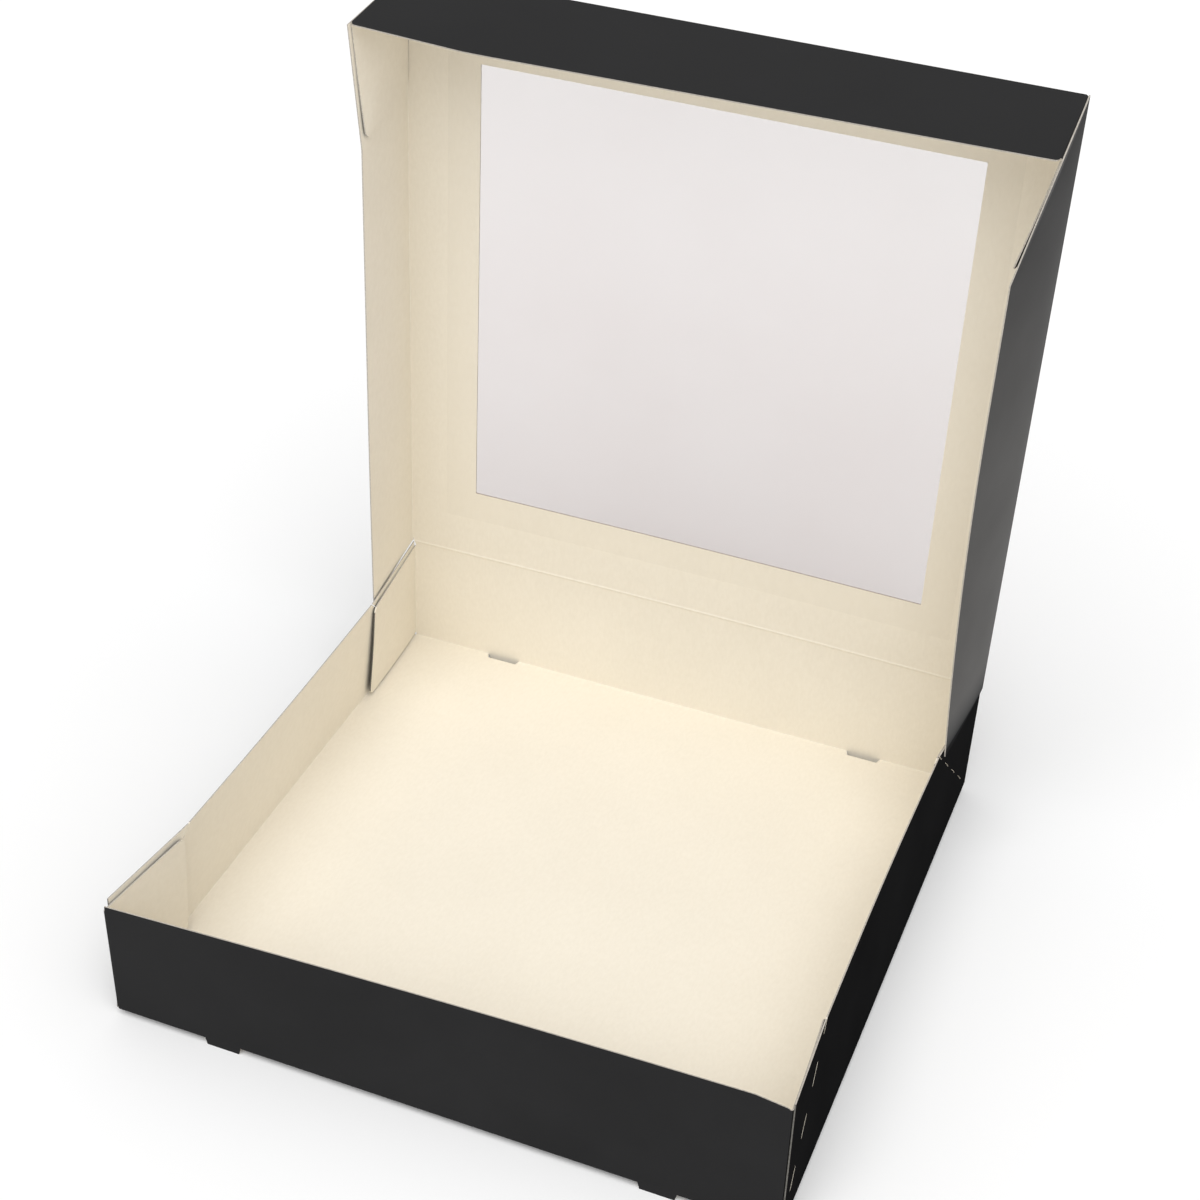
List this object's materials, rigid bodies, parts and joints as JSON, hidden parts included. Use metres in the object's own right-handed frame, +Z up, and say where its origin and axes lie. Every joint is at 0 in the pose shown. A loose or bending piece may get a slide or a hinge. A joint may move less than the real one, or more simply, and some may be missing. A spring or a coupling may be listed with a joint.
{
  "type": "cake box with window",
  "caption": "Flat square cake box of folded black card with a cream inside, a hinged full-depth lid and a film window in the lid.",
  "frame": {"origin": "middle of the box's footprint, on the surface that its feet stand on", "axes": "+X along the hinge crease to the right, +Y from the front wall to the back wall, +Z up; the lid stands open, in line with the back wall"},
  "size_m": [0.3044, 0.3, 0.3643],
  "materials": {
    "card": "satin coated black outside, matt cream inside",
    "film": "clear glossy film"
  },
  "bodies": {
    "tray": {"tray": "card"},
    "lid": {"lid": "card", "window_film": "film"}
  },
  "joints": [
    {"name": "lid_hinge", "type": "hinge", "parent": "tray", "child": "lid", "pos_m": [0, 0.1497, 0.063], "axis": [1, 0, 0], "range_deg": [-100, 90]}
  ]
}
